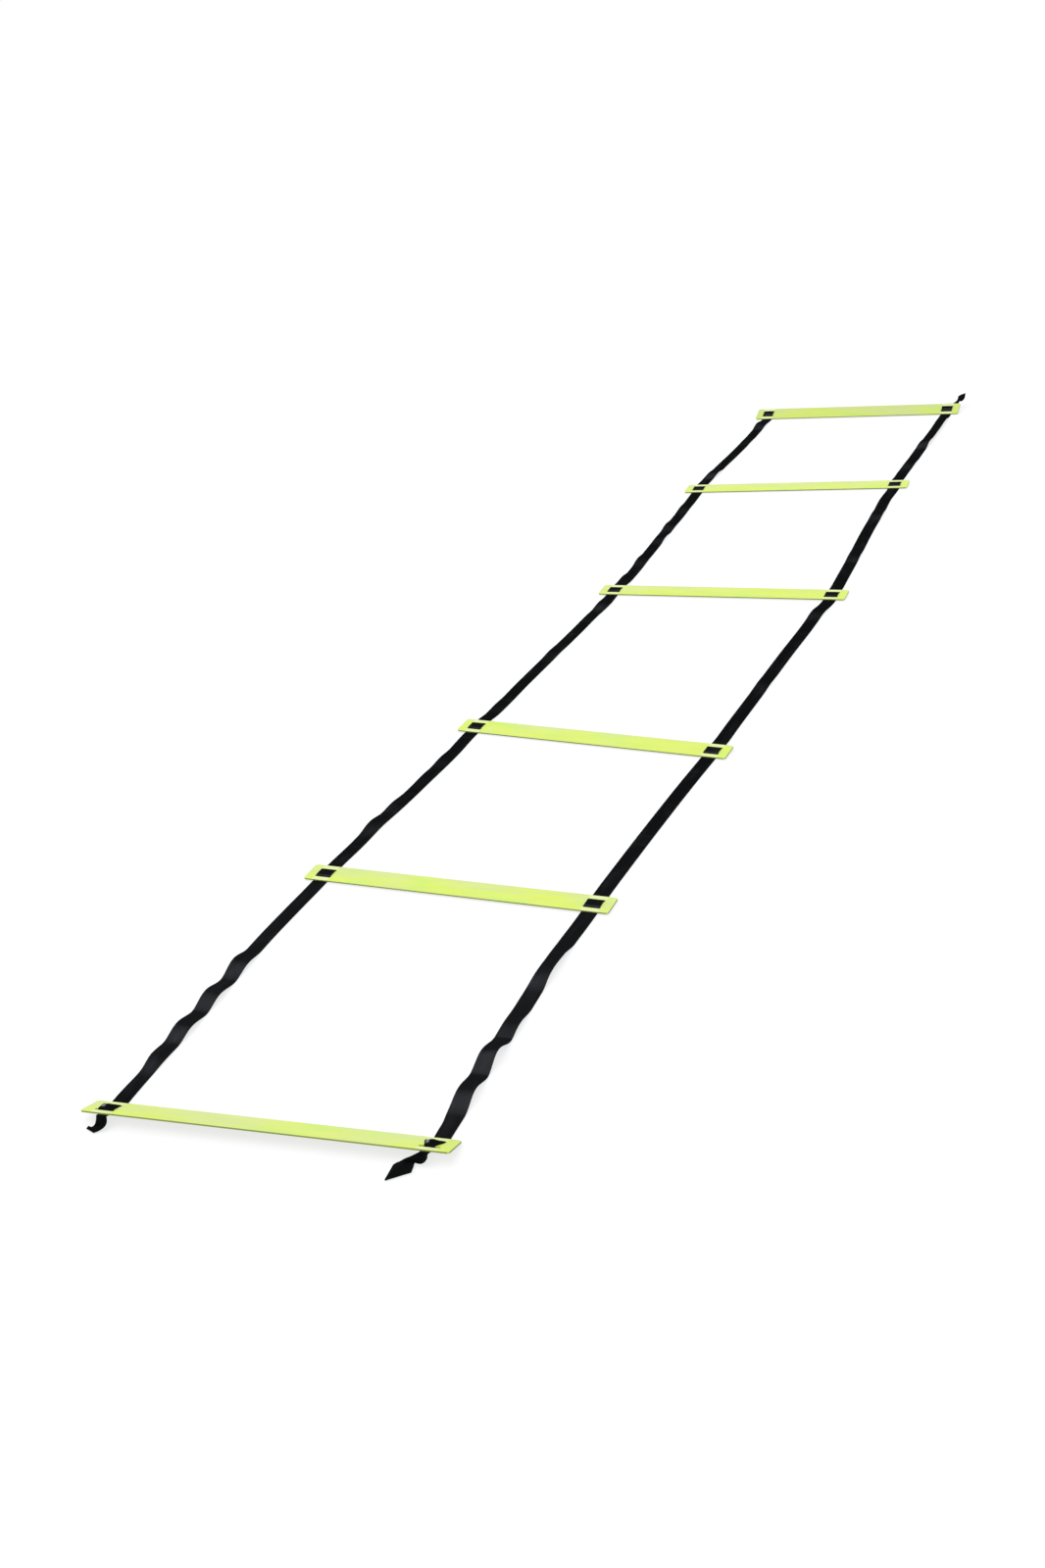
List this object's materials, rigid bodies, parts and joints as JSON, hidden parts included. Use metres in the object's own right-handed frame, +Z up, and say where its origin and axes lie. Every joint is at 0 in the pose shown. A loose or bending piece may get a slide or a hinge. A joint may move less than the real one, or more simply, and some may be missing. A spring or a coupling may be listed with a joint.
{
  "type": "agility ladder",
  "caption": "Flat agility ladder laid on the floor: plastic slats threaded on two parallel webbing straps, with loose pointed strap ends and bays to step into.",
  "frame": {"origin": "on the floor, at the middle of the laid-out ladder's footprint", "axes": "+X along the slats to the right, +Y along the straps from the near end to the far end, +Z up"},
  "size_m": [0.5393, 2.8468, 0.0284],
  "materials": {
    "slat_plastic": "smooth semi-matte neon yellow-green plastic",
    "black_webbing": "black woven webbing with a fine cross rib"
  },
  "bodies": {
    "webbing_1": {"left_strap_bay_1_near": "black_webbing", "right_strap_bay_1_near": "black_webbing", "left_strap_near_tail": "black_webbing", "right_strap_near_tail": "black_webbing"},
    "rung_1": {"rung_1": "slat_plastic", "left_strap_over_rung_1": "black_webbing", "right_strap_over_rung_1": "black_webbing"},
    "webbing_2": {"left_strap_bay_1_far": "black_webbing", "left_strap_bay_2_near": "black_webbing", "right_strap_bay_1_far": "black_webbing", "right_strap_bay_2_near": "black_webbing"},
    "rung_2": {"rung_2": "slat_plastic", "left_strap_over_rung_2": "black_webbing", "right_strap_over_rung_2": "black_webbing"},
    "webbing_3": {"left_strap_bay_2_far": "black_webbing", "left_strap_bay_3_near": "black_webbing", "right_strap_bay_2_far": "black_webbing", "right_strap_bay_3_near": "black_webbing"},
    "rung_3": {"rung_3": "slat_plastic", "left_strap_over_rung_3": "black_webbing", "right_strap_over_rung_3": "black_webbing"},
    "webbing_4": {"left_strap_bay_3_far": "black_webbing", "left_strap_bay_4_near": "black_webbing", "right_strap_bay_3_far": "black_webbing", "right_strap_bay_4_near": "black_webbing"},
    "rung_4": {"rung_4": "slat_plastic", "left_strap_over_rung_4": "black_webbing", "right_strap_over_rung_4": "black_webbing"},
    "webbing_5": {"left_strap_bay_4_far": "black_webbing", "left_strap_bay_5_near": "black_webbing", "right_strap_bay_4_far": "black_webbing", "right_strap_bay_5_near": "black_webbing"},
    "rung_5": {"rung_5": "slat_plastic", "left_strap_over_rung_5": "black_webbing", "right_strap_over_rung_5": "black_webbing"},
    "webbing_6": {"left_strap_bay_5_far": "black_webbing", "right_strap_bay_5_far": "black_webbing", "right_strap_far_tail": "black_webbing"},
    "rung_6": {"rung_6": "slat_plastic", "left_strap_over_rung_6": "black_webbing", "right_strap_over_rung_6": "black_webbing"}
  },
  "joints": [
    {"name": "fold_1", "type": "hinge", "parent": "webbing_1", "child": "webbing_2", "pos_m": [-0.01181, -1.09272, 0.018], "axis": [0.9985, 0.055, 0], "range_deg": [0, 179]},
    {"name": "fold_2", "type": "hinge", "parent": "webbing_2", "child": "webbing_3", "pos_m": [-0.01031, -0.58715, -0.006], "axis": [-0.9997, 0.0262, 0], "range_deg": [0, 179]},
    {"name": "fold_3", "type": "hinge", "parent": "webbing_3", "child": "webbing_4", "pos_m": [0.00919, -0.04697, 0.019], "axis": [0.9997, -0.0227, 0], "range_deg": [0, 179]},
    {"name": "fold_4", "type": "hinge", "parent": "webbing_4", "child": "webbing_5", "pos_m": [0.00644, 0.55111, -0.006], "axis": [-0.9993, -0.0375, 0], "range_deg": [0, 179]},
    {"name": "fold_5", "type": "hinge", "parent": "webbing_5", "child": "webbing_6", "pos_m": [-0.00531, 1.09982, 0.02], "axis": [0.999, 0.0436, 0], "range_deg": [0, 179]},
    {"name": "slide_1", "type": "slide", "parent": "webbing_1", "child": "rung_1", "axis": [-0.0286, 0.9996, 0], "range_m": [0, 0.075], "deforming": ["left_strap_over_rung_1", "right_strap_over_rung_1"]},
    {"name": "slide_2", "type": "slide", "parent": "webbing_2", "child": "rung_2", "axis": [0.0053, 1, 0], "range_m": [-0.075, 0.075], "deforming": ["left_strap_over_rung_2", "right_strap_over_rung_2"]},
    {"name": "slide_3", "type": "slide", "parent": "webbing_3", "child": "rung_3", "axis": [0.0364, 0.9993, 0], "range_m": [-0.075, 0.075], "deforming": ["left_strap_over_rung_3", "right_strap_over_rung_3"]},
    {"name": "slide_4", "type": "slide", "parent": "webbing_4", "child": "rung_4", "axis": [-0.0054, 1, 0], "range_m": [-0.075, 0.075], "deforming": ["left_strap_over_rung_4", "right_strap_over_rung_4"]},
    {"name": "slide_5", "type": "slide", "parent": "webbing_5", "child": "rung_5", "axis": [-0.0197, 0.9998, 0], "range_m": [-0.075, 0.075], "deforming": ["left_strap_over_rung_5", "right_strap_over_rung_5"]},
    {"name": "slide_6", "type": "slide", "parent": "webbing_6", "child": "rung_6", "axis": [0.0049, 1, 0], "range_m": [-0.075, 0], "deforming": ["left_strap_over_rung_6", "right_strap_over_rung_6"]}
  ]
}
